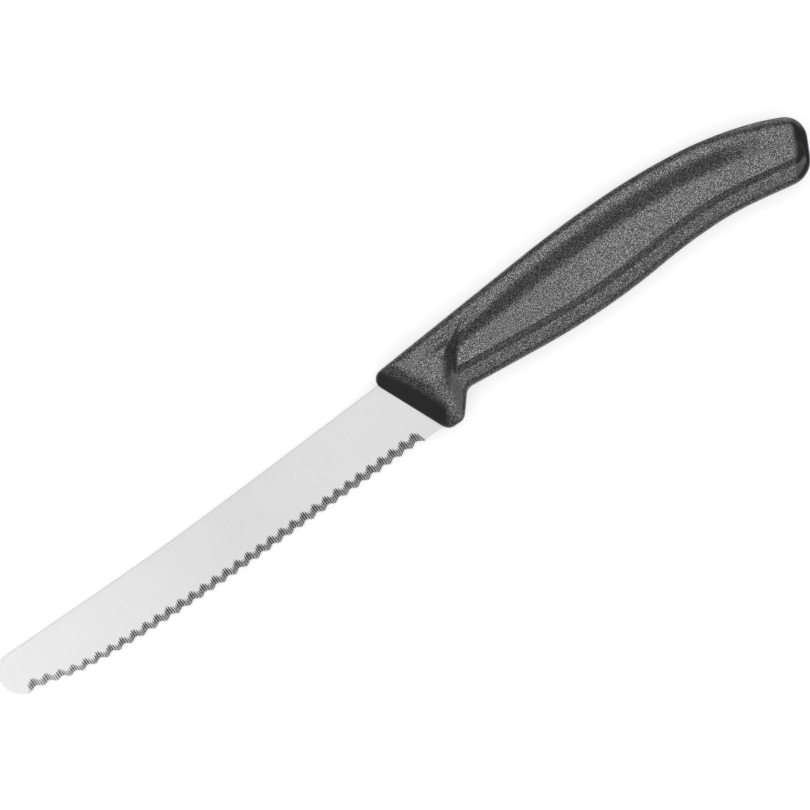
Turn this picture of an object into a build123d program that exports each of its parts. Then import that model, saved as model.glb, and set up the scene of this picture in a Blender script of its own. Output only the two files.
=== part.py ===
from build123d import *
import math
import os

# A serrated tomato knife that lies on its side. All lengths are in millimetres.
# +X runs from the blade's round tip to the butt, +Y from the cutting edge to the spine,
# and +Z out of the side that the teeth are ground on.
# Outlines are drawn with X = 0 at the handle's foremost point and Y = 0 at the guard's lowest
# point, with Z = 0 in the middle of the blade. The finished knife is then moved on to its origin.

# Overall sizes
blade_length = 110.0
handle_length = 114.4
handle_height = 24.3

# Blade blank: its full height at the handle, and how far its lowest tooth is above the guard's foot
blade_height = 17.5
edge_lift = 0.2
spine_thickness = 1.2
edge_thickness = 0.25
tip_upper_radius = 4.5
tip_lower_radius = 6.3
tip_turn = 67.3
tip_thinning_start = 70.0
tip_thinning_angle = 0.2

# Teeth: scallops of a coarse wave, each cut by a row of fine flutes, all ground from one side
tooth_count = 34
flutes_per_tooth = 6
serrated_start = 0.65
serrated_length = 107.5
tooth_height = 0.68
flute_height = 0.3
edge_trim = 0.05
grind_angle = 11.6
pitch_taper_share = 0.03

# Tang, hidden in the handle
tang_length = 60.0
tang_width = 9.5
tang_end_width = 7.5
tang_root_height = 11.9
tang_end_height = 13.4
tang_end_radius = 2.5
shoulder_inset = 1.2
shoulder_radius = 1.5
anchor_hole_radius = 2.25
anchor_shares = (0.40, 0.78)
mould_gap = 0.02

# Handle outline
front_lean = 23.7
butt_lean = 26.6
front_foot = 7.8
front_corner_radius = 2.1
guard_width = 4.45
guard_radius = 2.4
guard_rear_angle = 50.4
finger_radius = 3.0
butt_upper_radius = 5.0
butt_lower_radius = 5.5

# Handle surface, as half thicknesses measured from the middle of the blade
collar_half = 6.4
palm_half = 6.4
ledge_half = 4.5
ledge_cover = 0.4
front_lip_half = 1.3

# Handle surface, as widths across its side
rim_radius = 1.8
ridge_radius = 1.0
guard_ledge = 4.4
guard_slope = 2.8
butt_ledge = 2.4
butt_slope = 3.0
bevel_angle = 39.0
crest_width = 1.0
collar_run = 10.5

# Where the raised petal of the palm begins: a line that leans back and curls over to the spine
nose_start = 10.0
nose_ramp = 3.0
nose_radius = 1.2
nose_lean_share = 0.42
nose_curl_share = 0.56
nose_shares = (-0.5, 0.04, 0.5, 0.8, 1.1)

# The petal's foot and crest, as shares of the handle's height in from its spine and its belly,
# and its rear corners' radii as shares of its end
spine_inset_shares = (0.107, 0.329)
belly_inset_shares = (0.136, 0.235)
petal_corner_shares = (0.45, 0.42)

# Shares of the handle's length and height that its spine and belly pass through
spine_front_share = 0.826
spine_shares = [(0.3846, 0.9661), (0.577, 1.0), (0.7517, 0.9514), (0.909, 0.785), (1.014, 0.556)]
neck_share = 0.228
belly_shares = [(0.3147, 0.1506), (0.4633, 0.1152), (0.6119, 0.1481), (0.7343, 0.1737),
                (0.848, 0.1243)]

# Shares of the blade's length and height that its spine and edge pass through
blade_spine_shares = [(0.80, 0.8486), (0.60, 0.853), (0.40, 0.891), (0.20, 0.945)]
blade_edge_shares = [(0.931, 0.224), (0.873, 0.128), (0.8145, 0.0722), (0.7436, 0.036),
                     (0.64, 0.009), (0.497, 0.0), (0.288, 0.022), (0.115, 0.037)]
heel_share = 0.063

# One overrun serves every cut
overrun = 5.0

# Directions along the leaning front line of the handle and square to it, and the same at the butt
front_up = Vector(-math.sin(math.radians(front_lean)), math.cos(math.radians(front_lean)))
front_back = Vector(math.cos(math.radians(front_lean)), math.sin(math.radians(front_lean)))
butt_up = Vector(math.sin(math.radians(butt_lean)), math.cos(math.radians(butt_lean)))
butt_back = Vector(math.cos(math.radians(butt_lean)), -math.sin(math.radians(butt_lean)))

# The bevel ends, and the collar starts to fall, at these distances behind the front line
bevel_run = (collar_half - front_lip_half) / math.tan(math.radians(bevel_angle))
crest_run = bevel_run + crest_width


def front_x(y):
    """X of the handle's leaning front line at a height."""
    return front_foot - y * math.tan(math.radians(front_lean))


def handle_point(shares):
    """Point of the side view at shares of the handle's length and height."""
    return Vector(shares[0] * handle_length, shares[1] * handle_height)


def inset(shares, share):
    """Distance in from the outline at a share of the way from the petal's foot to its crest."""
    low, high = shares
    return (low + (high - low) * share) * handle_height


def smooth_chain(points):
    """A straight edge to the second point, then arcs that each carry on from the one before."""
    chain = [Line(points[0], points[1]).edge()]
    for point in points[2:]:
        start = chain[-1] @ 1
        direction = chain[-1] % 1
        chain.append(TangentArc(start, point, tangent=direction).edge())
    return chain


def inset_chain(chain, width):
    """The same chain moved to the left of its direction, or to the right when negative."""
    moved = []
    for edge in chain:
        start_way = edge % 0
        end_way = edge % 1
        start = edge @ 0 + Vector(-start_way.Y, start_way.X) * width
        end = edge @ 1 + Vector(-end_way.Y, end_way.X) * width
        if edge.geom_type == GeomType.LINE:
            moved.append(Line(start, end).edge())
        else:
            moved.append(TangentArc(start, end, tangent=start_way).edge())
    return moved


def spine_chain():
    """Upper line of the handle, from its front corner to its butt."""
    front_y = spine_front_share * handle_height
    points = [Vector(front_x(front_y), front_y)]
    for shares in spine_shares:
        points.append(handle_point(shares))
    return smooth_chain(points)


def neck_point():
    """Corner between the guard's rear slope and the belly."""
    rise = neck_share * handle_height
    run = rise / math.tan(math.radians(guard_rear_angle))
    return Vector(front_foot + guard_width + run, rise)


def belly_chain():
    """Lower line of the handle, from the neck to where it meets the butt line."""
    points = [neck_point()]
    for shares in belly_shares:
        points.append(handle_point(shares))
    chain = smooth_chain(points)
    start = chain[-1] @ 1
    way = chain[-1] % 1
    top = handle_point(spine_shares[-1])
    reach = (top - start).dot(butt_back) / way.dot(butt_back)
    chain.append(Line(start, start + way * reach).edge())
    return chain


def handle_outline():
    """Side view of the handle: spine, butt, belly, guard and front, with rounded corners."""
    spine = spine_chain()
    belly = belly_chain()
    front_top = spine[0] @ 0
    butt_top = spine[-1] @ 1
    butt_foot = belly[-1] @ 1
    neck = belly[0] @ 0
    guard_rear = Vector(front_foot + guard_width, 0)
    front_bottom = Vector(front_foot, 0)
    butt = Line(butt_top, butt_foot)
    front = Polyline(neck, guard_rear, front_bottom, front_top)
    outline = make_face([*spine, butt, *belly, *front.edges()])
    corners = [(front_top, front_corner_radius), (front_bottom, guard_radius),
               (guard_rear, guard_radius), (neck, finger_radius),
               (butt_top, butt_upper_radius), (butt_foot, butt_lower_radius)]
    for corner, radius in corners:
        vertex = outline.vertices().sort_by_distance(corner)[0]
        outline = fillet(vertex, radius)
    return outline


def ledge_slab(outline):
    """Near half of the handle up to its ledges, with a rounded rim."""
    slab = extrude(outline, ledge_half)
    return fillet(slab.faces().sort_by(Axis.Z)[-1].edges(), rim_radius)


def front_prism(points):
    """Prism along the front line, drawn by distance behind it and half thickness."""
    plane = Plane(origin=(front_foot, 0), x_dir=front_back, z_dir=-front_up)
    profile = make_face(plane * Polyline(*points, close=True))
    return extrude(profile, handle_height + overrun, both=True)


def front_bevel():
    """Wedge that is cut off the near side of the front."""
    slope = math.tan(math.radians(bevel_angle))
    reach = bevel_run + overrun
    top = front_lip_half + reach * slope
    low = front_lip_half - overrun * slope
    return front_prism([(-overrun, low), (reach, top), (-overrun, top)])


def collar_envelope():
    """Solid below the collar: level behind the bevel, then falling in an S to the ledges."""
    plane = Plane(origin=(front_foot, 0), x_dir=front_back, z_dir=-front_up)
    end = crest_run + collar_run
    low = ledge_half - ledge_cover
    crest = Line((-overrun, collar_half), (crest_run, collar_half))
    middle = Vector((crest_run + end) / 2, (collar_half + low) / 2)
    fall = TangentArc(crest @ 1, middle, tangent=(1, 0))
    level = TangentArc(fall @ 1, Vector(end, low), tangent=fall % 1)
    rest = Polyline(Vector(end, low), (end, 0), (-overrun, 0), (-overrun, collar_half))
    profile = make_face(plane * Curve([crest, fall, level, *rest.edges()]))
    return extrude(profile, handle_height + overrun, both=True)


def collar_step(share):
    """Side view of the collar's lower limit at a share of the slope above the guard's ledge."""
    guard_y = guard_ledge + guard_slope * share
    belly_y = inset(belly_inset_shares, share)
    neck = neck_point()
    end_x = neck.X + collar_run
    top_y = handle_height + overrun
    guard_corner = Vector(neck.X - guard_width, guard_y)
    neck_corner = Vector(neck.X, neck.Y + belly_y)
    points = [(-overrun, guard_y), guard_corner, neck_corner,
              (end_x, neck_corner.Y), (end_x, top_y), (-overrun, top_y)]
    face = make_face(Polyline(*points, close=True))
    for corner in (guard_corner, neck_corner):
        face = fillet(face.vertices().sort_by_distance(corner)[0], finger_radius)
    return face


def collar(outline):
    """Thick front of the near half, behind the bevel and above the guard's ledge."""
    foot_half = ledge_half - ledge_cover
    low = Pos(0, 0, foot_half) * collar_step(0)
    high = Pos(0, 0, collar_half) * collar_step(1)
    step = extrude(collar_step(0), foot_half) + loft([low, high], ruled=True)
    block = extrude(outline, collar_half) & collar_envelope()
    wall = block.faces().sort_by(Axis.Y)[-1]
    block = fillet(wall.edges().sort_by(Axis.Z)[-3:], rim_radius)
    return (block - front_bevel()) & step


def nose_heights():
    """Lowest and highest point of the line where the petal starts."""
    low = neck_point().Y + inset(belly_inset_shares, 0)
    return low, spine_front_share * handle_height


def nose_x(y):
    """X of the curling line where the petal starts."""
    low, high = nose_heights()
    rise = (y - low) / (high - low)
    run = nose_lean_share * rise + nose_curl_share * rise ** 3
    return nose_start + front_x(low) + run * (high - low)


def petal_face(share):
    """Side view of the petal at a share of the way up its slopes."""
    spine = inset_chain(spine_chain(), -inset(spine_inset_shares, share))
    belly = inset_chain(belly_chain(), inset(belly_inset_shares, share))
    spine[0] = Line(spine[0] @ 0 - (spine[0] % 0) * overrun, spine[0] @ 1)
    belly[0] = Line(belly[0] @ 0 - (belly[0] % 0) * neck_point().X, belly[0] @ 1)
    spine_end = spine[-1] @ 1 + (spine[-1] % 1) * butt_lower_radius
    belly_end = belly[-1] @ 1 + (belly[-1] % 1) * butt_lower_radius
    rim = Polyline(spine[-1] @ 1, spine_end, belly_end, belly[-1] @ 1)
    face = make_face([Line(belly[0] @ 0, spine[0] @ 0), *spine, *rim.edges(), *belly])

    butt_middle = handle_point(spine_shares[-1]) - butt_back * (butt_ledge + butt_slope * share)
    high = butt_middle + butt_up * handle_height
    low = butt_middle - butt_up * handle_height
    behind = butt_back * handle_height
    face -= make_face(Polyline(low, high, high + behind, low + behind, close=True))

    low_y, high_y = nose_heights()
    heights = [low_y + (high_y - low_y) * place for place in nose_shares]
    nose = Spline(*[(nose_x(y) + nose_ramp * share, y) for y in heights])
    ahead = Polyline(nose @ 1, (-handle_height, heights[-1]), (-handle_height, heights[0]), nose @ 0)
    face -= make_face([nose, *ahead.edges()])
    return face.faces().sort_by(SortBy.AREA)[-1]


def petal_outline(share):
    """The same side view with its corners rounded."""
    face = petal_face(share)
    top = handle_point(spine_shares[-1])
    foot = belly_chain()[-1] @ 1
    neck = neck_point()
    ends = [Vector(face.vertices().sort_by_distance(corner)[0]) for corner in (foot, top)]
    end_width = (ends[1] - ends[0]).length
    for corner, corner_share in zip(ends, petal_corner_shares):
        vertex = face.vertices().sort_by_distance(corner)[0]
        face = fillet(vertex, corner_share * end_width)
    return fillet(face.vertices().sort_by_distance(neck)[0], nose_radius)


def petal():
    """Raised palm of the near half, with slopes down to the ledges and a soft ridge."""
    low = Pos(0, 0, ledge_half - ledge_cover) * petal_outline(0)
    high = Pos(0, 0, palm_half) * petal_outline(1)
    body = loft([low, high], ruled=True)
    return fillet(body.faces().sort_by(Axis.Z)[-1].edges(), ridge_radius)


def tang_face(reach):
    """Hidden part of the blank: shoulders and tang, drawn from a reach ahead of the front line."""
    spine_y = edge_lift + blade_height
    heel_y = edge_lift + heel_share * blade_height
    shoulder = shoulder_inset / front_back.X
    root_x = front_x(tang_root_height) + shoulder
    end_x = root_x + tang_length
    root_top = tang_root_height + tang_width / 2
    root_low = tang_root_height - tang_width / 2
    end_top = tang_end_height + tang_end_width / 2
    end_low = tang_end_height - tang_end_width / 2
    points = [(front_x(spine_y) - reach, spine_y), (front_x(spine_y) + shoulder, spine_y),
              (front_x(root_top) + shoulder, root_top), (end_x, end_top), (end_x, end_low),
              (front_x(root_low) + shoulder, root_low), (front_x(heel_y) + shoulder, heel_y),
              (front_x(heel_y) - reach, heel_y)]
    face = make_face(Polyline(*points, close=True))
    for corner in (points[2], points[5]):
        face = fillet(face.vertices().sort_by_distance(corner)[0], shoulder_radius)
    for corner in (points[3], points[4]):
        face = fillet(face.vertices().sort_by_distance(corner)[0], tang_end_radius)
    return face


def anchor_centres():
    """Middles of the tang's two anchor holes."""
    root_x = front_x(tang_root_height) + shoulder_inset / front_back.X
    centres = []
    for share in anchor_shares:
        y = tang_root_height + (tang_end_height - tang_root_height) * share
        centres.append(Vector(root_x + tang_length * share, y))
    return centres


def anchors(radius, half):
    """Round pins through the anchor holes."""
    return [Pos(centre) * Cylinder(radius, 2 * half) for centre in anchor_centres()]


def handle():
    """Moulded handle: two mirrored halves around the pocket that grips the tang."""
    outline = handle_outline()
    half = ledge_slab(outline) - front_bevel()
    half = half + collar(outline)
    half = half + petal()
    body = half + mirror(half, Plane.XY)
    pocket_half = spine_thickness / 2 + mould_gap
    pocket = extrude(offset(tang_face(overrun), mould_gap), pocket_half, both=True)
    for pin in anchors(anchor_hole_radius - mould_gap, pocket_half):
        pocket = pocket - pin
    return body - pocket


def edge_curve():
    """Curve through the tips of the teeth, from the tip's lower corner to the handle."""
    tip_x = -blade_length + tip_lower_radius * (1 - math.cos(math.radians(tip_turn)))
    tip_y = tip_middle().Y - tip_lower_radius * math.sin(math.radians(tip_turn))
    points = [Vector(tip_x, tip_y)]
    for along, up in blade_edge_shares:
        points.append(Vector(-along * blade_length, edge_lift + up * blade_height))
    heel_y = edge_lift + heel_share * blade_height
    points.append(Vector(front_x(heel_y), heel_y))
    return Spline(*points)


def tip_middle():
    """Foremost point of the blade, where its two tip arcs meet."""
    spine_y = edge_lift + blade_spine_shares[0][1] * blade_height
    return Vector(-blade_length, spine_y - tip_upper_radius)


def blank_face():
    """Side view of the blade's blank with its tang, before its teeth are ground."""
    tip = tip_middle()
    upper = CenterArc(tip + Vector(tip_upper_radius, 0), tip_upper_radius, 90, 90)
    lower = CenterArc(tip + Vector(tip_lower_radius, 0), tip_lower_radius, 180, tip_turn)
    spine_y = edge_lift + blade_height
    points = [upper @ 0]
    for along, up in blade_spine_shares:
        points.append(Vector(-along * blade_length, edge_lift + up * blade_height))
    points.append(Vector(front_x(spine_y), spine_y))
    spine = Spline(*points)
    edge = edge_curve()
    face = make_face([upper, lower, edge, Line(edge @ 1, spine @ 1), spine])
    return face + tang_face(0)


def tooth_profile():
    """Points of the ground edge from tip to heel: flutes across every scallop of the wave."""
    edge = edge_curve()
    steps = tooth_count * flutes_per_tooth * 2
    points = []
    for step in range(steps + 1):
        along = step / steps
        taper = along + pitch_taper_share * along * (1 - along)
        place = (serrated_start + taper * serrated_length) / edge.length
        turn = math.tau * step / (flutes_per_tooth * 2)
        depth = edge_trim + tooth_height * (1 - math.cos(turn)) / 2
        if step % 2 == 1:
            depth += flute_height
        way = edge % place
        points.append(edge @ place + Vector(-way.Y, way.X) * depth)
    return points


def grind_cutter():
    """Solid that grinds the teeth, swept at the grind angle out of the near side."""
    points = tooth_profile()
    before = points[0] + Vector(-overrun, -overrun)
    after = points[-1] + Vector(overrun, -overrun)
    low_y = -2 * overrun
    rim = [before, *points, after, Vector(after.X, low_y), Vector(before.X, low_y)]
    profile = make_face(Polyline(*rim, close=True))
    angle = math.radians(grind_angle)
    way = Vector(0, math.cos(angle), math.sin(angle))
    start = Pos(0, 0, -edge_thickness / 2) * (Pos(way * -overrun) * profile)
    return extrude(start, 2 * overrun, dir=way)


def taper_cutter():
    """Wedge above the near side of the blade, which thins from spine to edge."""
    spine_y = edge_lift + blade_height
    slope = (spine_thickness - edge_thickness) / 2 / blade_height
    low = edge_thickness / 2 - overrun * slope
    top = spine_thickness / 2 + overrun * slope
    reach = top + overrun
    section = [(edge_lift - overrun, low), (spine_y + overrun, top),
               (spine_y + overrun, reach), (edge_lift - overrun, reach)]
    profile = make_face(Plane.YZ * Polyline(*section, close=True))
    prism = Pos(-blade_length - overrun, 0, 0) * extrude(profile, blade_length + handle_height)
    high_y = spine_y + overrun
    low_y = edge_lift - overrun
    ahead = [(front_x(high_y), high_y), (front_x(low_y), low_y),
             (-blade_length - overrun, low_y), (-blade_length - overrun, high_y)]
    return prism & extrude(make_face(Polyline(*ahead, close=True)), reach)


def tip_cutter(taper):
    """The same wedge leaning down towards the tip, which thins the end of the blade."""
    pivot = Pos(-tip_thinning_start, 0, 0)
    return pivot * Rotation(0, -tip_thinning_angle, 0) * (pivot.inverse() * taper)


def blade():
    """Stamped blade: tapered blank with a ground edge, and a tang with anchor holes."""
    body = extrude(blank_face(), spine_thickness / 2, both=True)
    taper = taper_cutter()
    for cutter in (taper, tip_cutter(taper)):
        body = body - cutter
        body = body - mirror(cutter, Plane.XY)
    body = body - grind_cutter()
    for pin in anchors(anchor_hole_radius, spine_thickness):
        body = body - pin
    return body


def write(parts):
    """Move the knife so that the middle of its underside is the origin, and write its pieces."""
    box = Compound(list(parts.values())).bounding_box()
    shift = Pos(-box.center().X, -box.center().Y, -box.min.Z)
    os.makedirs("parts", exist_ok=True)
    for name, shape in parts.items():
        export_step(shift * shape, f"parts/{name}.step")


write({"handle": handle(), "blade": blade()})
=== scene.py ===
import math

import bpy
import numpy as np
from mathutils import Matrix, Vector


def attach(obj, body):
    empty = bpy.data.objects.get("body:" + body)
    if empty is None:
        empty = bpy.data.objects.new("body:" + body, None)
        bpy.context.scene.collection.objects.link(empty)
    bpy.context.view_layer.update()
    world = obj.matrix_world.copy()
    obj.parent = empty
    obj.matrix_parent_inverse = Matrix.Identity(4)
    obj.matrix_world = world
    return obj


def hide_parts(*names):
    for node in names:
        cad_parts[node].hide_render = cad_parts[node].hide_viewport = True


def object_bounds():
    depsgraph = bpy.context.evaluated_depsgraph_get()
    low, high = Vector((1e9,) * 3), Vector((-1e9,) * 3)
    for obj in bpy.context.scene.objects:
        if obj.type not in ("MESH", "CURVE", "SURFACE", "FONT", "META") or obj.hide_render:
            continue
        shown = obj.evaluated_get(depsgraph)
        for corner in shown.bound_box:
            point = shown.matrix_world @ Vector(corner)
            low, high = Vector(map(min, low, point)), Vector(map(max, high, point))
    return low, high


# A tomato knife that lies on its side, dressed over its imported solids.
# Side-view points are complex numbers in millimetres: the real part runs from the blade's tip to
# the butt, the imaginary part from the cutting edge to the spine, and both are zero at the
# handle's foremost point and the guard's lowest point. Heights are measured from the blade's
# middle. The meshes are moved from there into the frame, in metres.
# The values below are lengths in millimetres, angles in degrees or plain ratios, unless a heading
# says otherwise.

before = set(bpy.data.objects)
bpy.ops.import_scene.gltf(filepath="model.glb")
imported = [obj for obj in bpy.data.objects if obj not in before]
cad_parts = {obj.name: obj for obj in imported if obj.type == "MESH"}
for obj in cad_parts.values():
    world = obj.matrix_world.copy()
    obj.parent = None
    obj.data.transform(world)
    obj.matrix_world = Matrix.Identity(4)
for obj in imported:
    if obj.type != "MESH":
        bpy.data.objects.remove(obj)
cad_low, cad_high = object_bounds()

MM = 0.001

# Overall sizes
BLADE_LENGTH = 110.0
HANDLE_LENGTH = 114.4
HANDLE_HEIGHT = 24.3

# Blade
BLADE_HEIGHT = 17.5
EDGE_LIFT = 0.2
SPINE_THICKNESS = 1.2
EDGE_THICKNESS = 0.25
TIP_UPPER_RADIUS = 4.5
TIP_LOWER_RADIUS = 6.3
TIP_TURN = 67.3
TIP_THINNING_START = 70.0
TIP_THINNING_ANGLE = 0.2
SPINE_ROUND = 0.08
EDGE_ROUND = 0.06
BLADE_END = 9.0

# Teeth: each is a wave of fine flutes, ground from the near side
TOOTH_COUNT = 34
FLUTES_PER_TOOTH = 6
SERRATED_START = 0.65
SERRATED_LENGTH = 107.5
TOOTH_HEIGHT = 0.68
FLUTE_HEIGHT = 0.3
FLUTE_SHARPNESS = 0.8
FLUTE_REACH = 0.32
TOOTH_TIP_SHARE = 0.75
EDGE_TRIM = 0.05
GRIND_ANGLE = 11.6
PITCH_TAPER_SHARE = 0.03
RUN_OUT = 2.5

# Handle's outline
FRONT_LEAN = 23.7
BUTT_LEAN = 26.6
FRONT_FOOT = 7.8
FRONT_CORNER_RADIUS = 2.1
GUARD_WIDTH = 4.45
GUARD_RADIUS = 2.4
GUARD_REAR_ANGLE = 50.4
FINGER_RADIUS = 3.0
BUTT_UPPER_RADIUS = 5.0
BUTT_LOWER_RADIUS = 5.5

# Handle's half thicknesses
COLLAR_HALF = 6.4
PALM_HALF = 6.4
NOSE_HALF = 6.05
LEDGE_HALF = 4.5
FRONT_LIP_HALF = 1.3

# Ledges round the palm: widths, and how far they rise, drop or tilt
SPINE_LEDGE = 2.3
SPINE_SLOPE = 5.6
SPINE_LEDGE_DROP = 0.35
BELLY_LEDGE = 3.2
BELLY_SLOPE = 2.0
BELLY_TILT = 0.25
BELLY_RISE = 0.6
FRONT_RISE = 1.1
FRONT_RISE_END = 32.0
FRONT_RISE_FOOT = 5.0
FRONT_RISE_TOP = 8.0
RIDGE_RISE = 1.7
RIDGE_END = 42.0
RIDGE_WIDTH = 1.8
RIDGE_SLOPE = 2.8
BUTT_LEDGE = 0.5
BUTT_SLOPE = 2.6
BUTT_SPINE_RISE = 1.4
BUTT_BELLY_RISE = 0.5
BUTT_MERGE = 24.0

# Palm's curling front end
NOSE_START = 11.6
NOSE_RAMP = 1.6
NOSE_RISE = 25.0
NOSE_LOWEST = 8.0

# Collar, guard and the crease between collar and palm
COLLAR_FALL = 3.4
COLLAR_CREST = 9.0
COLLAR_RUN = 9.5
COLLAR_SPINE_DROP = 0.4
COLLAR_CROWN = 9.0
GUARD_LEDGE = 3.3
GUARD_SLOPE = 7.0
CREASE_END = 2.2
CREASE_FADE = 3.0

# Bevel at the front, and the guard's toe where it is more level
BEVEL_ANGLE = 39.0
CREST_SOFTNESS = 0.6
GUARD_CREST_SOFTNESS = 2.0
TOE_RISE = 1.4
TOE_END = 4.0
TOE_RUN = 4.5

# Rim: its slope steepens outwards as far as RIM_SLOPE, a rise over a run
SPINE_RIM = 1.4
BELLY_RIM = 1.0
RIM_SLOPE = 0.8
GUARD_RIM_CUT = 0.6
GUARD_RIM_END = 11.0
GUARD_RIM_RUN = 4.0

# Walls: rounded off where the rim ends, then leaning out to a proud parting line
EDGE_RADIUS = 0.8
WALL_DRAFT = 0.03
PARTING_PROUD = 0.04
PARTING_HALF = 0.06

# Places without grain: the bevel, the butt and a strip along the crease
POLISHED_WIDTH = 4.3
POLISHED_ARCH = 0.5
POLISHED_FADE = 1.3
TOE_POLISH_CUT = 3.4
BUTT_POLISHED = 2.6
BUTT_FADE = 1.0
STRIP_SHIFT = 0.7
STRIP_BEND = 6.0
STRIP_LEAN = 0.45
STRIP_HALF = 1.5
STRIP_SOFTNESS = 1.4
STRIP_TOP = 19.0
STRIP_FADE = 7.0
STRIP_FOOT = 1.0
STRIP_FOOT_FADE = 1.4
STRIP_POLISH = 0.8

# Shares of the handle's length and height
SPINE_FRONT_SHARE = 0.826
SPINE_SHARES = [(0.3846, 0.9661), (0.577, 1.0), (0.7517, 0.9514), (0.909, 0.785), (1.014, 0.556)]
NECK_SHARE = 0.228
BELLY_SHARES = [(0.3147, 0.1506), (0.4633, 0.1152), (0.6119, 0.1481), (0.7343, 0.1737),
                (0.848, 0.1243)]
NOSE_LEAN_SHARE = 0.42
NOSE_CURL_SHARE = 0.56

# Shares of the blade's length and height
BLADE_SPINE_SHARES = [(0.80, 0.8486), (0.60, 0.853), (0.40, 0.891), (0.20, 0.945)]
BLADE_EDGE_SHARES = [(0.931, 0.224), (0.873, 0.128), (0.8145, 0.0722), (0.7436, 0.036),
                     (0.64, 0.009), (0.497, 0.0), (0.288, 0.022), (0.115, 0.037)]
HEEL_SHARE = 0.063

# Fineness of the meshes
CURVE_STEP = 0.15
STATION_STEP = 0.33
ACROSS_COUNT = 62
RIM_STEPS = 8
RIM_BAND = 2.2
EDGE_STEPS = 4
WALL_SHARES = (0.7, 0.4)
STEPS_PER_FLUTE = 8
EDGE_POINTS = 4000
SPINE_POINTS = 2000
TIP_COLUMNS = 20
HEEL_COLUMNS = 40
TIP_GAP = 0.01
FACET_SHARES = (0, 0.12, 0.35, 0.6, 0.85, 1)
FACE_SHARES = (0.006, 0.03, 0.1, 0.25, 0.45, 0.65, 0.85, 1)
BACK_SHARES = (0.8, 0.55, 0.3, 0.1, 0.02, 0.004)
ROUND_ANGLES = (30, 60, 90)
SHARP_ANGLE = 32.0

# Plastic: scales are repeats in a metre, the depth is in metres, the rest are shader levels
GRAIN_SCALE = 4400.0
FINE_GRAIN_SCALE = 9000.0
PIT_SCALE = 4200.0
FINE_GRAIN_SHARE = 0.35
PIT_SHARE = 0.5
POLISHED_GRAIN_SHARE = 0.06
GRAIN_DEPTH = 0.00005
SPECK_START = 0.535
SPECK_FULL = 0.60
SPECK_TONE = 0.38
SPECK_METAL = 0.8
BLACK_TONE = 0.011
POLISHED_TONE = 0.016
PLASTIC_GLOSS = 0.7
PLASTIC_IOR = 1.52
POLISHED_ROUGHNESS = 0.30
GRAINED_ROUGHNESS = 0.38

# Steel: the painted light towards the tip is placed in metres along the blade, the scales and levels as
# for the plastic
LINE_SCALES = (9000.0, 260.0, 260.0)
LINE_STRENGTH = 0.12
LINE_DEPTH = 0.00001
LINE_START = 0.3
LINE_FULL = 0.7
DARK_LINE_TONE = 0.455
LIGHT_LINE_TONE = 0.495
# Painted light: the steel's colour is made up to this factor lighter towards the tip, for the light
# falling there
TIP_PAINTED_LIGHT = 1.17
TIP_LIGHT_START = -0.112
TIP_LIGHT_END = -0.05
# Painted shade: the ground flutes' colour darkens towards this level along the groove attribute
FLUTE_SHADE_START = 0.3
FLUTE_SHADE_FULL = 0.75
FLUTE_PAINTED_SHADE = 0.03
# Painted light: the ground facets' colour is made this share lighter, for the light on them
FACET_PAINTED_LIGHT = 0.6
CLOUD_SCALE = 60.0
STEEL_ROUGHNESS = (0.30, 0.38)
FACET_ROUGHNESS = 0.08

# Studio, in metres
CAMERA_HEIGHT = 1.2
CAMERA_PLACE = (0.0006, -0.00166)
CAMERA_TURN = -34.5
VIEW_WIDTH = 0.1864
SENSOR_WIDTH = 36.0
CLIP_NEAR = 0.01
CLIP_FAR = 20.0
FLOOR_SIZE = 6.0
FLOOR_TONE = 0.82
FLOOR_GLOW = 0.56
BOX_HEIGHT = 1.5
BOX_SIZE = 1.9
BOX_LEVEL = 1.6
ROOM_LEVEL = 0.12
WHITE_BELOW = 0.02
GREY_ABOVE = 0.12

# Directions along the front line and square to it, and the same at the butt
FRONT_BACK = np.exp(1j * math.radians(FRONT_LEAN))
FRONT_UP = 1j * FRONT_BACK
BUTT_BACK = np.exp(-1j * math.radians(BUTT_LEAN))
FRONT_BOTTOM = complex(FRONT_FOOT, 0)

# Slopes, and how far the rounded edge stands out beyond the rim
BEVEL_SLOPE = math.tan(math.radians(BEVEL_ANGLE))
FACE_SLOPE = (SPINE_THICKNESS - EDGE_THICKNESS) / 2 / BLADE_HEIGHT
RIM_ANGLE = math.atan(RIM_SLOPE)
EDGE_OUT = EDGE_RADIUS * (1 - math.sin(RIM_ANGLE))


def front_x(y):
    """Place of the handle's leaning front line at a height."""
    return FRONT_FOOT - y * math.tan(math.radians(FRONT_LEAN))


def smooth(share):
    """Ease from 0 to 1 with level ends."""
    share = np.clip(share, 0, 1)
    return share * share * (3 - 2 * share)


def ramp(share):
    """Ease from a level foot to a crest that is still rising, which leaves a ridge."""
    share = np.clip(share, 0, 1)
    return share * share * (2 - share)


def dome(share):
    """Rise steeply from a foot and level out at the crest."""
    share = np.clip(share, 0, 1)
    return 1 - (1 - share) ** 2


def halfway(distance_past, width):
    """Ease from 0 to 1 over a width with its middle at a line."""
    return smooth(0.5 + distance_past / width)


def straight(start, end):
    """Points along a straight line."""
    count = max(int(abs(end - start) / CURVE_STEP), 2)
    return start + (end - start) * np.linspace(0, 1, count)


def smooth_chain(points):
    """Points along a straight line and then arcs that each carry on from the one before."""
    way = (points[1] - points[0]) / abs(points[1] - points[0])
    chain = [straight(points[0], points[1])]
    for start, end in zip(points[1:], points[2:]):
        chord = end - start
        half_turn = np.angle(chord / way)
        radius = abs(chord) / (2 * math.sin(half_turn))
        turn = 2 * half_turn * np.linspace(0, 1, max(int(abs(chord) / CURVE_STEP), 3))
        chain.append((start + way * radius * (np.sin(turn) + 1j * (1 - np.cos(turn))))[1:])
        way = way * np.exp(2j * half_turn)
    return np.concatenate(chain), way


def ways(curve):
    """Unit directions at the points of a curve."""
    way = np.gradient(curve)
    return way / np.abs(way)


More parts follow.
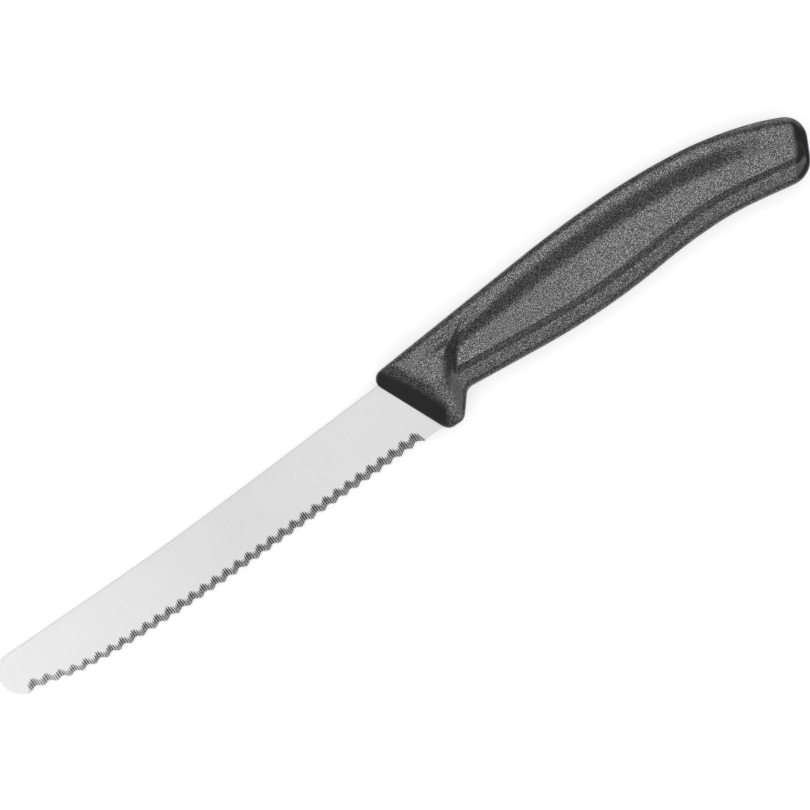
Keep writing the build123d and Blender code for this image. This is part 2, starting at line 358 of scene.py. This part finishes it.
def crossing(first, second):
    """Where two curves cross: segment and share along each."""
    start, step = first[:-1, None], np.diff(first)[:, None]
    other, other_step = second[None, :-1], np.diff(second)[None, :]
    area = (np.conj(step) * other_step).imag
    area[area == 0] = np.inf
    along = (np.conj(other - start) * other_step).imag / area
    across = (np.conj(other - start) * step).imag / area
    inside = (along >= 0) & (along <= 1) & (across >= 0) & (across <= 1)
    i, j = np.argwhere(inside & (along + across != 0))[0]
    return i, along[i, j], j, across[i, j]


def round_corner(first, second, radius):
    """Two meeting curves, cut back, and the arc that joins them."""
    turn = np.angle((second[1] - second[0]) / (first[-1] - first[-2]))
    side = 1j * np.sign(turn) * radius
    i, along, j, across = crossing(first + side * ways(first), second + side * ways(second))
    start = first[i] + (first[i + 1] - first[i]) * along
    end = second[j] + (second[j + 1] - second[j]) * across
    centre = start + side * ways(first)[i]
    count = max(int(abs(turn) * radius / CURVE_STEP), 4)
    bend = np.angle((end - centre) / (start - centre)) * np.linspace(0, 1, count)
    arc = centre + (start - centre) * np.exp(1j * bend)
    return np.append(first[:i + 1], start), arc, np.insert(second[j + 1:], 0, end)


def handle_point(shares):
    """Point at shares of the handle's length and height."""
    return complex(shares[0] * HANDLE_LENGTH, shares[1] * HANDLE_HEIGHT)


def handle_lines():
    """The handle's outline before rounding, clockwise: spine, butt, belly, guard, foot, front."""
    front_y = SPINE_FRONT_SHARE * HANDLE_HEIGHT
    front_top = complex(front_x(front_y), front_y)
    spine, _ = smooth_chain([front_top] + [handle_point(s) for s in SPINE_SHARES])
    rise = NECK_SHARE * HANDLE_HEIGHT
    run = rise / math.tan(math.radians(GUARD_REAR_ANGLE))
    neck = complex(FRONT_FOOT + GUARD_WIDTH + run, rise)
    belly, way = smooth_chain([neck] + [handle_point(s) for s in BELLY_SHARES])
    reach = ((spine[-1] - belly[-1]) * np.conj(BUTT_BACK)).real / (way * np.conj(BUTT_BACK)).real
    foot = belly[-1] + way * reach
    belly = np.concatenate([belly, straight(belly[-1], foot)[1:]])
    guard_rear = complex(FRONT_FOOT + GUARD_WIDTH, 0)
    lines = [spine, straight(spine[-1], foot), belly[::-1], straight(neck, guard_rear),
             straight(guard_rear, FRONT_BOTTOM), straight(FRONT_BOTTOM, front_top)]
    inset = PARTING_PROUD + WALL_DRAFT + EDGE_OUT
    return [line - 1j * inset * ways(line) for line in lines]


def handle_outline():
    """Upper and lower side of the rounded outline, and both again with square corners at the butt."""
    spine, butt, belly, rear, foot, front = handle_lines()
    top_corner, low_corner = spine[-1], belly[0]
    spine, butt_arc, butt = round_corner(spine, butt, BUTT_UPPER_RADIUS)
    butt, heel_arc, belly = round_corner(butt, belly, BUTT_LOWER_RADIUS)
    belly, neck_arc, rear = round_corner(belly, rear, FINGER_RADIUS)
    rear, guard_arc, foot = round_corner(rear, foot, GUARD_RADIUS)
    foot, foot_arc, front = round_corner(foot, front, GUARD_RADIUS)
    front, front_arc, spine = round_corner(front, spine, FRONT_CORNER_RADIUS)
    spine_side = np.concatenate([front_arc, spine[1:-1]])
    belly_side = np.concatenate([belly[1:-1], neck_arc, rear[1:-1], guard_arc, foot[1:-1], foot_arc])
    upper = np.concatenate([spine_side, butt_arc])
    lower = np.concatenate([heel_arc, belly_side])[::-1]
    return upper, lower, np.append(spine_side, top_corner), np.insert(belly_side, 0, low_corner)


def eased_places(length, count):
    """Places from 0 to a length: close together near both ends, then even."""
    ends = RIM_BAND * (np.arange(RIM_STEPS) / RIM_STEPS) ** 2
    middle = np.linspace(RIM_BAND, length - RIM_BAND, count)
    return np.concatenate([ends, middle, (length - ends)[::-1]])


def chord_end(curve, point, way):
    """Where a line through a point crosses a curve."""
    side = (np.conj(way) * (curve - point)).imag
    i = np.nonzero(side[:-1] * side[1:] <= 0)[0][0]
    return curve[i] + (curve[i + 1] - curve[i]) * side[i] / (side[i] - side[i + 1])


def handle_grid(upper, lower):
    """Points of the handle's side view: one row per station, each from the belly to the spine."""
    length = abs(upper[-1] - upper[0])
    stations = eased_places(length, int(length / STATION_STEP)) / length
    across = eased_places(1 + 2 * RIM_BAND, ACROSS_COUNT)
    near_low = across.clip(0, RIM_BAND)
    near_high = (across - 1 - RIM_BAND).clip(0, RIM_BAND)
    even = (across - RIM_BAND).clip(0, 1)
    front_mid = (upper[0] + lower[0]) / 2
    butt_mid = (upper[-1] + lower[-1]) / 2
    front_way = (upper[0] - lower[0]) / abs(upper[0] - lower[0])
    butt_way = (upper[-1] - lower[-1]) / abs(upper[-1] - lower[-1])
    rows = []
    for station in stations:
        middle = front_mid + (butt_mid - front_mid) * station
        way = front_way * (butt_way / front_way) ** station
        if station == 0:
            low, high = lower[0], upper[0]
        elif station == 1:
            low, high = lower[-1], upper[-1]
        else:
            low, high = chord_end(lower, middle, way), chord_end(upper, middle, way)
        width = abs(high - low)
        place = (near_low + near_high + even * (width - 2 * RIM_BAND)) / width
        rows.append(low + (high - low) * place)
    return np.array(rows)


def distance(points, curve):
    """Least distance from each point to a curve."""
    least = np.full(points.shape, np.inf)
    for start, step in zip(curve[:-1], np.diff(curve)):
        share = (((points - start) * np.conj(step)).real / abs(step) ** 2).clip(0, 1)
        least = np.minimum(least, np.abs(points - start - share * step))
    return least


def nose_x(y):
    """Place of the curling line where the collar ends and the raised palm starts."""
    low = NECK_SHARE * HANDLE_HEIGHT + BELLY_LEDGE
    span = SPINE_FRONT_SHARE * HANDLE_HEIGHT - low
    rise = (np.maximum(y, NOSE_LOWEST) - low) / span
    return NOSE_START + front_x(low) + (NOSE_LEAN_SHARE * rise + NOSE_CURL_SHARE * rise ** 3) * span


class Places:
    """Where points of the handle's side view lie: how far from its sides and past its lines."""

    def __init__(self, points):
        upper, lower, spine_side, belly_side = handle_outline()
        self.height = points.imag
        self.behind = ((points - FRONT_BOTTOM) * np.conj(FRONT_BACK)).real
        self.up_front = ((points - FRONT_BOTTOM) * np.conj(FRONT_UP)).real
        self.front_middle = abs(upper[0] - lower[0]) / 2
        self.from_butt = ((upper[-1] - points) * np.conj(BUTT_BACK)).real
        self.from_spine = distance(points, spine_side)
        self.from_belly = distance(points, belly_side)
        from_outline = np.minimum(distance(points, upper), distance(points, lower))
        self.from_rim = np.minimum(from_outline, self.from_butt.clip(0))
        self.past_nose = points.real - nose_x(points.imag)
        self.near_belly = halfway(self.from_spine - self.from_belly, SPINE_SLOPE)
        self.toe = smooth((TOE_END - self.up_front) / TOE_RUN)


def ledge_half(at):
    """Half thickness of the ledges, which rise to the front, to the butt and behind the collar."""
    half = LEDGE_HALF + BELLY_RISE * at.near_belly
    half = half - BELLY_TILT * (BELLY_LEDGE - at.from_belly).clip(0)
    half = half - SPINE_LEDGE_DROP * smooth((at.from_belly - at.from_spine) / SPINE_SLOPE)
    front = smooth(1 - at.behind / FRONT_RISE_END)
    front = front * smooth((at.from_belly - FRONT_RISE_FOOT) / FRONT_RISE_TOP)
    butt_rise = BUTT_SPINE_RISE + (BUTT_BELLY_RISE - BUTT_SPINE_RISE) * at.near_belly
    butt = smooth(1 - at.from_butt / BUTT_MERGE)
    ridge = smooth(1 - at.behind / RIDGE_END)
    ridge = ridge * smooth(1 - (at.from_spine - RIDGE_WIDTH) / RIDGE_SLOPE)
    return half + FRONT_RISE * front + butt_rise * butt + RIDGE_RISE * ridge


def palm_share(at):
    """How far the palm has risen from the ledges, which it merges with towards the butt."""
    spine = smooth((at.from_spine - SPINE_LEDGE) / SPINE_SLOPE)
    merge = smooth(1 - (at.from_butt - BUTT_LEDGE) / BUTT_MERGE) * dome(at.from_spine / SPINE_LEDGE)
    share = dome(at.past_nose / NOSE_RAMP) * ramp((at.from_belly - BELLY_LEDGE) / BELLY_SLOPE)
    share = share * (spine + (1 - spine) * merge)
    return share * smooth((at.from_butt - BUTT_LEDGE) / BUTT_SLOPE)


def collar_share(at):
    """How far the collar stands above the ledges: it falls in the crease and along the spine."""
    crease_fall = dome(-at.past_nose / COLLAR_FALL)
    spine_fall = smooth(1 - (at.behind - COLLAR_CREST) / COLLAR_RUN)
    near_spine = smooth(1 - (at.from_spine - CREASE_END) / CREASE_FADE)
    share = crease_fall + (spine_fall - crease_fall) * near_spine
    return share * dome((at.from_belly - GUARD_LEDGE) / GUARD_SLOPE)


def rim_drop(at):
    """How far the rounded rim has fallen, on a narrower rim round the guard."""
    rim = BELLY_RIM + (SPINE_RIM - BELLY_RIM) * halfway(at.from_belly - at.from_spine, SPINE_SLOPE)
    rim = rim - GUARD_RIM_CUT * smooth((GUARD_RIM_END - at.behind) / GUARD_RIM_RUN) * at.near_belly
    outward = (1 - at.from_rim / rim).clip(0, 1)
    return RIM_SLOPE * rim / 2 * outward ** 2


def bevelled(half, at):
    """Half thickness cut back by the bevel at the front, with a soft crest."""
    bevel = FRONT_LIP_HALF + at.behind * BEVEL_SLOPE + TOE_RISE * at.toe
    crest_change = (CREST_SOFTNESS - GUARD_CREST_SOFTNESS) * smooth(at.up_front / HANDLE_HEIGHT)
    softness = GUARD_CREST_SOFTNESS + crest_change
    gap = np.sqrt((half - bevel) ** 2 + softness ** 2)
    return (half + bevel - gap) / 2


def handle_half(at):
    """Half thickness of the handle."""
    ledge = ledge_half(at)
    palm = NOSE_HALF + (PALM_HALF - NOSE_HALF) * smooth(at.behind / NOSE_RISE)
    collar = COLLAR_HALF - COLLAR_SPINE_DROP * (1 - dome(at.from_spine / COLLAR_CROWN))
    half = ledge + (palm - ledge) * palm_share(at) + (collar - ledge) * collar_share(at)
    return bevelled(np.minimum(half, PALM_HALF) - rim_drop(at), at)


def handle_grain(at):
    """How grained the plastic is, from 0 where the mould is polished to 1."""
    arch = POLISHED_ARCH * ((at.up_front - at.front_middle) / at.front_middle) ** 2
    polished = POLISHED_WIDTH - arch - TOE_POLISH_CUT * at.toe
    from_strip = at.past_nose + STRIP_SHIFT + (STRIP_BEND - at.height).clip(0) * STRIP_LEAN
    polish = smooth(STRIP_SOFTNESS - np.abs(from_strip) / STRIP_HALF)
    polish = polish * smooth((STRIP_TOP - at.height) / STRIP_FADE)
    polish = polish * smooth((at.height - STRIP_FOOT) / STRIP_FOOT_FADE)
    grain = halfway(at.behind - polished, POLISHED_FADE)
    grain = grain * smooth((at.from_butt - BUTT_POLISHED) / BUTT_FADE)
    return grain * (1 - STRIP_POLISH * polish)


def new_object(name, vertices, faces, attributes):
    """Mesh object in the frame from points in millimetres, with smooth faces and attributes."""
    shift = np.array([cad_low[0] / MM + BLADE_LENGTH, cad_low[1] / MM, cad_low[2] / MM + COLLAR_HALF])
    faces = [tuple(int(v) for v in face) for face in faces]
    mesh = bpy.data.meshes.new(name)
    mesh.from_pydata(((vertices + shift) * MM).tolist(), [], faces)
    mesh.validate()
    mesh.polygons.foreach_set("use_smooth", [True] * len(mesh.polygons))
    mesh.set_sharp_from_angle(angle=math.radians(SHARP_ANGLE))
    for key, values in attributes.items():
        layer = mesh.attributes.new(key, "FLOAT", "POINT")
        layer.data.foreach_set("value", np.asarray(values, dtype=np.float32))
    mesh.update()
    made = bpy.data.objects.new(name, mesh)
    bpy.context.collection.objects.link(made)
    return made


def row_faces(first, second, closed):
    """Faces between two rows of vertex numbers."""
    count = len(first) if closed else len(first) - 1
    faces = []
    for i in range(count):
        j = (i + 1) % len(first)
        faces.append((first[i], first[j], second[j], second[i]))
    return faces


def wall_steps(height):
    """Outward reach and height of each row down one wall, over the parting line and up the other."""
    steps = []
    for angle in np.linspace(RIM_ANGLE, math.pi / 2, EDGE_STEPS + 1)[1:]:
        reach = EDGE_RADIUS * (math.sin(angle) - math.sin(RIM_ANGLE))
        steps.append((reach, height - EDGE_RADIUS * (math.cos(RIM_ANGLE) - math.cos(angle))))
    wall = steps[-1][1]
    for share in WALL_SHARES:
        steps.append((EDGE_OUT + WALL_DRAFT * (1 - share), wall * share))
    parting = np.full(len(height), PARTING_HALF)
    steps.append((EDGE_OUT + WALL_DRAFT, parting * 2))
    steps.append((EDGE_OUT + WALL_DRAFT + PARTING_PROUD, parting))
    return steps + [(reach, -step) for reach, step in steps[::-1]]


def handle_mesh():
    """Moulded handle: both sides from one surface, joined by walls with a parting line."""
    upper, lower, _, _ = handle_outline()
    grid = handle_grid(upper, lower)
    at = Places(grid)
    half = handle_half(at).ravel()
    grain = handle_grain(at).ravel()
    rows, columns = grid.shape
    size = rows * columns
    near = np.column_stack([grid.real.ravel(), grid.imag.ravel(), half])
    index = np.arange(size).reshape(rows, columns)
    faces = []
    for i in range(rows - 1):
        row = row_faces(index[i], index[i + 1], False)
        faces += [face[::-1] for face in row]
        faces += [tuple(v + size for v in face) for face in row]

    loop = np.concatenate([index[:-1, 0], index[-1, :-1], index[:0:-1, -1], index[0, :0:-1]])
    on_front = np.arange(len(loop)) >= len(loop) - columns + 1
    rim = grid.ravel()[loop]
    way = np.roll(rim, -1) - np.roll(rim, 1)
    outward = -1j * way / np.abs(way)
    vertices = [near, near * [1, 1, -1]]
    grains = [grain, grain]
    previous = loop
    start = 2 * size
    for reach, step in wall_steps(half[loop]):
        place = rim + outward * np.where(on_front, min(reach, EDGE_OUT), reach)
        vertices.append(np.column_stack([place.real, place.imag, step]))
        grains.append(grain[loop])
        current = np.arange(start, start + len(loop))
        faces += row_faces(previous, current, True)
        previous = current
        start += len(loop)
    faces += row_faces(previous, loop + size, True)
    return new_object("handle_grip", np.concatenate(vertices), faces, {"grain": np.concatenate(grains)})


def cubic_through(points, count):
    """Points along a smooth curve through given points, with even spacing by length."""
    points = np.array(points)
    places = np.concatenate([[0], np.cumsum(np.abs(np.diff(points)))])
    steps = np.diff(places)
    slopes = np.diff(points) / steps
    size = len(points)
    matrix = np.eye(size)
    right = np.zeros(size, dtype=complex)
    for i in range(1, size - 1):
        matrix[i, i - 1:i + 2] = steps[i - 1], 2 * (steps[i - 1] + steps[i]), steps[i]
        right[i] = 6 * (slopes[i] - slopes[i - 1])
    bend = np.linalg.solve(matrix, right)
    place = np.linspace(0, places[-1], count)
    i = np.clip(np.searchsorted(places, place) - 1, 0, size - 2)
    ahead = places[i + 1] - place
    after = place - places[i]
    curve = bend[i] * ahead ** 3 / (6 * steps[i]) + bend[i + 1] * after ** 3 / (6 * steps[i])
    curve = curve + (points[i] / steps[i] - bend[i] * steps[i] / 6) * ahead
    return curve + (points[i + 1] / steps[i] - bend[i + 1] * steps[i] / 6) * after


def blade_point(shares):
    """Point at shares of the blade's length, towards its tip, and of its height."""
    return complex(-shares[0] * BLADE_LENGTH, EDGE_LIFT + shares[1] * BLADE_HEIGHT)


def tooth_profile(edge):
    """Ground line from tip to heel and how deep in a flute each of its points is."""
    steps = TOOTH_COUNT * FLUTES_PER_TOOTH * STEPS_PER_FLUTE
    step = np.arange(steps + 1)
    along = step / steps
    place = SERRATED_START + (along + PITCH_TAPER_SHARE * along * (1 - along)) * SERRATED_LENGTH
    lengths = np.concatenate([[0], np.cumsum(np.abs(np.diff(edge)))])
    point = np.interp(place, lengths, edge.real) + 1j * np.interp(place, lengths, edge.imag)
    wave = (1 - np.cos(math.tau * step / (FLUTES_PER_TOOTH * STEPS_PER_FLUTE))) / 2
    flute = np.abs(np.sin(math.pi * step / STEPS_PER_FLUTE))
    depth = EDGE_TRIM + TOOTH_HEIGHT * wave + FLUTE_HEIGHT * flute ** FLUTE_SHARPNESS
    # The groove value also masks the painted shade in the flutes' colour; it is weaker at the tooth
    # tips
    groove = flute ** 2 * (TOOTH_TIP_SHARE + (1 - TOOTH_TIP_SHARE) * wave)
    return point + 1j * ways(point) * depth, groove


def tip_shape(x, radius):
    """How far a round of the tip reaches from its middle at each place, and its radius behind it."""
    past = ((BLADE_LENGTH - radius + x) / radius).clip(-1, 0)
    return radius * np.sqrt(1 - past ** 2)


def blade_columns():
    """Columns of the blade: place, lowest point, spine, ground line and groove depth of each."""
    tip_y = EDGE_LIFT + BLADE_SPINE_SHARES[0][1] * BLADE_HEIGHT - TIP_UPPER_RADIUS
    turn = math.radians(TIP_TURN)
    nose = complex(-BLADE_LENGTH + TIP_LOWER_RADIUS * (1 - math.cos(turn)),
                   tip_y - TIP_LOWER_RADIUS * math.sin(turn))
    heel_y = EDGE_LIFT + HEEL_SHARE * BLADE_HEIGHT
    heel = complex(front_x(heel_y), heel_y)
    edge = cubic_through([nose] + [blade_point(s) for s in BLADE_EDGE_SHARES] + [heel], EDGE_POINTS)
    spine_y = EDGE_LIFT + BLADE_HEIGHT
    spine_start = complex(-BLADE_LENGTH + TIP_UPPER_RADIUS, tip_y + TIP_UPPER_RADIUS)
    spine_end = complex(front_x(spine_y), spine_y)
    spine = cubic_through([spine_start] + [blade_point(s) for s in BLADE_SPINE_SHARES] + [spine_end],
                          SPINE_POINTS)
    profile, groove = tooth_profile(edge)

    bend = turn * np.linspace(0, 1, TIP_COLUMNS)[1:]
    tip = -BLADE_LENGTH + TIP_LOWER_RADIUS * (1 - np.cos(bend))
    tip = tip[tip < profile[0].real - TIP_GAP]
    heel = np.linspace(profile[-1].real, BLADE_END, HEEL_COLUMNS)[1:]
    x = np.concatenate([tip, profile.real, heel])
    tip_ground = profile[0].imag - (profile[0].real - tip) * RUN_OUT
    heel_ground = profile[-1].imag - (heel - profile[-1].real) * RUN_OUT
    ground = np.concatenate([tip_ground, profile.imag, heel_ground])
    groove = np.concatenate([0 * tip, groove, 0 * heel])

    low = np.interp(x, edge.real, edge.imag)
    low = np.where(x < nose.real, tip_y - tip_shape(x, TIP_LOWER_RADIUS), low)
    top = np.interp(x, spine.real, spine.imag)
    top = np.where(x < spine_start.real, tip_y + tip_shape(x, TIP_UPPER_RADIUS), top)
    return x, np.maximum(low, ground), top, ground, groove


def face_half(x, y):
    """Half thickness of the tapered blade."""
    thinning = (-TIP_THINNING_START - x).clip(0) * math.tan(math.radians(TIP_THINNING_ANGLE))
    return EDGE_THICKNESS / 2 + (y - EDGE_LIFT) * FACE_SLOPE - thinning


def blade_mesh():
    """Blade from closed rings, one per column: ground facet, near face, back, far face."""
    x, low, top, ground, groove = blade_columns()
    grind_slope = math.tan(math.radians(GRIND_ANGLE))
    start_half = face_half(x, ground)
    run = 2 * start_half / (grind_slope - FACE_SLOPE) + FLUTE_REACH * groove
    facet_slope = FACE_SLOPE + 2 * start_half / run
    crown = top - SPINE_ROUND
    facet_top = np.minimum(np.maximum(ground + run, low), crown - EDGE_ROUND)
    back = face_half(x, crown)

    rings = []
    for share in FACET_SHARES:
        y = low + (facet_top - low) * share
        rings.append((y, np.minimum(-start_half + (y - ground) * facet_slope, face_half(x, y))))
    for share in FACE_SHARES:
        y = facet_top + (crown - facet_top) * share
        rings.append((y, face_half(x, y)))
    for turn in np.radians(ROUND_ANGLES):
        rings.append((crown + SPINE_ROUND * math.sin(turn), back - SPINE_ROUND * (1 - math.cos(turn))))
    for turn in np.radians(ROUND_ANGLES[::-1] + (0,)):
        rings.append((crown + SPINE_ROUND * math.sin(turn), -back + SPINE_ROUND * (1 - math.cos(turn))))
    for share in BACK_SHARES:
        y = low + (crown - low) * share
        rings.append((y, -face_half(x, y)))

    count = len(rings)
    columns = len(x)
    vertices = np.array([[x, y, z] for y, z in rings]).transpose(2, 0, 1).reshape(-1, 3)
    index = np.arange(columns * count).reshape(columns, count)
    faces = []
    for i in range(columns - 1):
        faces += row_faces(index[i], index[i + 1], True)
    faces.append(index[0])
    faces.append(index[-1][::-1])
    # facet marks the ground facet rings; it also carries the painted light on the facets' colour
    facet = np.tile(np.arange(count) < len(FACET_SHARES), columns).astype(float)
    # groove carries the painted shade in the flutes into the material
    return new_object("blade_steel", vertices, faces,
                      {"facet": facet, "groove": facet * np.repeat(groove, count)})


class Nodes:
    """Small helper that adds shader nodes and links them."""

    def __init__(self, owner):
        owner.use_nodes = True
        self.tree = owner.node_tree
        self.tree.nodes.clear()

    def add(self, kind, inputs=None, **settings):
        node = self.tree.nodes.new(kind)
        for key, value in settings.items():
            setattr(node, key, value)
        for key, value in (inputs or {}).items():
            if isinstance(value, bpy.types.NodeSocket):
                self.tree.links.new(value, node.inputs[key])
            else:
                node.inputs[key].default_value = value
        return node

    def math(self, operation, first, second):
        return self.add("ShaderNodeMath", {0: first, 1: second}, operation=operation).outputs[0]

    def times(self, first, second):
        return self.math("MULTIPLY", first, second)

    def plus(self, first, second):
        return self.math("ADD", first, second)

    def attribute(self, name):
        return self.add("ShaderNodeAttribute", attribute_name=name).outputs["Fac"]

    def noise(self, place, scale, detail, roughness):
        return self.add("ShaderNodeTexNoise", {"Vector": place, "Scale": scale, "Detail": detail,
                                               "Roughness": roughness}).outputs["Fac"]

    def change(self, value, start, end, low, high):
        return self.add("ShaderNodeMapRange", {"Value": value, "From Min": start, "From Max": end,
                                               "To Min": low, "To Max": high}).outputs[0]

    def grey(self, tone):
        return self.add("ShaderNodeCombineColor", {"Red": tone, "Green": tone, "Blue": tone}).outputs[0]


def grey(level):
    return (level, level, level, 1)


def plastic():
    """Black moulded plastic: spark-eroded grain, fading where the mould is polished."""
    material = bpy.data.materials.new("black_grained_plastic")
    nodes = Nodes(material)
    place = nodes.add("ShaderNodeTexCoord").outputs["Object"]
    grain = nodes.attribute("grain")
    coarse = nodes.noise(place, GRAIN_SCALE, detail=1.0, roughness=0.65)
    fine = nodes.noise(place, FINE_GRAIN_SCALE, detail=2.0, roughness=0.6)
    pits = nodes.add("ShaderNodeTexVoronoi", {"Vector": place, "Scale": PIT_SCALE}).outputs["Distance"]
    relief = nodes.plus(coarse, nodes.times(fine, FINE_GRAIN_SHARE))
    relief = nodes.plus(relief, nodes.times(pits, PIT_SHARE))
    depth = nodes.plus(nodes.times(grain, 1 - POLISHED_GRAIN_SHARE), POLISHED_GRAIN_SHARE)
    bump = nodes.add("ShaderNodeBump", {"Height": nodes.times(relief, depth), "Strength": 1.0,
                                        "Distance": GRAIN_DEPTH})
    specks = nodes.times(nodes.change(coarse, SPECK_START, SPECK_FULL, 0.0, 1.0), grain)
    tone = nodes.plus(nodes.times(specks, SPECK_TONE), POLISHED_TONE)
    tone = nodes.math("SUBTRACT", tone, nodes.times(grain, POLISHED_TONE - BLACK_TONE))
    shader = nodes.add("ShaderNodeBsdfPrincipled", {
        "Base Color": nodes.grey(tone),
        "Metallic": nodes.times(specks, SPECK_METAL),
        "Roughness": nodes.change(grain, 0.0, 1.0, POLISHED_ROUGHNESS, GRAINED_ROUGHNESS),
        "Specular IOR Level": PLASTIC_GLOSS,
        "IOR": PLASTIC_IOR,
        "Normal": bump.outputs[0]})
    nodes.add("ShaderNodeOutputMaterial", {"Surface": shader.outputs[0]})
    return material


def steel():
    """Satin steel with fine cross-ground lines, painted shade in the ground flutes, painted light on
    the ground facets and towards the tip.
    """
    material = bpy.data.materials.new("satin_steel")
    nodes = Nodes(material)
    place = nodes.add("ShaderNodeTexCoord").outputs["Object"]
    facet = nodes.attribute("facet")
    groove = nodes.attribute("groove")
    along = nodes.add("ShaderNodeMapping", {"Vector": place, "Scale": LINE_SCALES}).outputs[0]
    lines = nodes.noise(along, 1.0, detail=3.0, roughness=0.7)
    cloud = nodes.noise(place, CLOUD_SCALE, detail=2.0, roughness=0.5)
    length = nodes.add("ShaderNodeSeparateXYZ", {"Vector": place}).outputs["X"]
    # Painted light: the colour grows up to 17% lighter towards the tip
    tip_painted_light = nodes.change(length, TIP_LIGHT_START, TIP_LIGHT_END, TIP_PAINTED_LIGHT, 1.0)
    bump = nodes.add("ShaderNodeBump", {"Height": lines, "Strength": LINE_STRENGTH,
                                        "Distance": LINE_DEPTH})
    tone = nodes.change(lines, LINE_START, LINE_FULL, DARK_LINE_TONE, LIGHT_LINE_TONE)
    # Painted shade: the colour in the flutes falls nearly to black where they are deepest
    flute_painted_shade = nodes.change(groove, FLUTE_SHADE_START, FLUTE_SHADE_FULL, 1.0, FLUTE_PAINTED_SHADE)
    # Painted light: the ground facets' colour is 60% lighter than the faces'
    facet_painted_light = nodes.plus(nodes.times(facet, FACET_PAINTED_LIGHT), 1.0)
    tone = nodes.times(nodes.times(tone, tip_painted_light), nodes.times(flute_painted_shade, facet_painted_light))
    rough = nodes.change(cloud, 0.0, 1.0, *STEEL_ROUGHNESS)
    shader = nodes.add("ShaderNodeBsdfPrincipled", {
        "Base Color": nodes.grey(tone),
        "Metallic": 1.0,
        "Roughness": nodes.plus(rough, nodes.times(facet, FACET_ROUGHNESS)),
        "Normal": bump.outputs[0]})
    nodes.add("ShaderNodeOutputMaterial", {"Surface": shader.outputs[0]})
    return material


def floor():
    """Pale floor that shows white to the eye and in gloss, and keeps the knife's soft shadow."""
    bpy.ops.mesh.primitive_plane_add(size=FLOOR_SIZE)
    made = bpy.context.object
    made.name = "floor"
    material = bpy.data.materials.new("white_floor")
    nodes = Nodes(material)
    rays = nodes.add("ShaderNodeLightPath")
    seen = nodes.math("MAXIMUM", rays.outputs["Is Camera Ray"], rays.outputs["Is Glossy Ray"])
    seen = nodes.math("MAXIMUM", seen, rays.outputs["Is Transmission Ray"])
    matt = nodes.add("ShaderNodeBsdfDiffuse", {"Color": grey(FLOOR_TONE)})
    glow = nodes.add("ShaderNodeEmission", {"Color": grey(1.0),
                                            "Strength": nodes.times(seen, FLOOR_GLOW)})
    both = nodes.add("ShaderNodeAddShader", {0: matt.outputs[0], 1: glow.outputs[0]})
    nodes.add("ShaderNodeOutputMaterial", {"Surface": both.outputs[0]})
    made.data.materials.append(material)


def studio():
    """Room: white towards the horizon and below it, grey above, with one large soft box overhead."""
    world = bpy.data.worlds.new("studio")
    nodes = Nodes(world)
    place = nodes.add("ShaderNodeTexCoord").outputs["Generated"]
    up = nodes.add("ShaderNodeSeparateXYZ", {"Vector": place}).outputs["Z"]
    level = nodes.change(up, WHITE_BELOW, GREY_ABOVE, 1.0, ROOM_LEVEL)
    sky = nodes.add("ShaderNodeBackground", {"Color": grey(1.0), "Strength": level})
    nodes.add("ShaderNodeOutputWorld", {"Surface": sky.outputs[0]})
    bpy.context.scene.world = world

    lamp = bpy.data.lights.new("soft_box", "AREA")
    lamp.shape = "SQUARE"
    lamp.size = BOX_SIZE
    lamp.energy = BOX_LEVEL * math.pi * BOX_SIZE ** 2
    made = bpy.data.objects.new("soft_box", lamp)
    made.location = (0, 0, BOX_HEIGHT)
    bpy.context.collection.objects.link(made)


def camera():
    """Camera straight above the knife, turned so that the handle points up to the right."""
    made = bpy.data.cameras.new("camera")
    made.lens = SENSOR_WIDTH * (CAMERA_HEIGHT - COLLAR_HALF * MM) / VIEW_WIDTH
    made.clip_start = CLIP_NEAR
    made.clip_end = CLIP_FAR
    seat = bpy.data.objects.new("camera", made)
    seat.location = (*CAMERA_PLACE, CAMERA_HEIGHT)
    seat.rotation_euler = (0, 0, math.radians(CAMERA_TURN))
    bpy.context.collection.objects.link(seat)
    bpy.context.scene.camera = seat


handle = handle_mesh()
handle.data.materials.append(plastic())
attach(handle, "root")
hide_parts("handle")

blade = blade_mesh()
blade.data.materials.append(steel())
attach(blade, "root")
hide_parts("blade")

floor()
studio()
camera()

bpy.context.scene.view_settings.view_transform = "Standard"
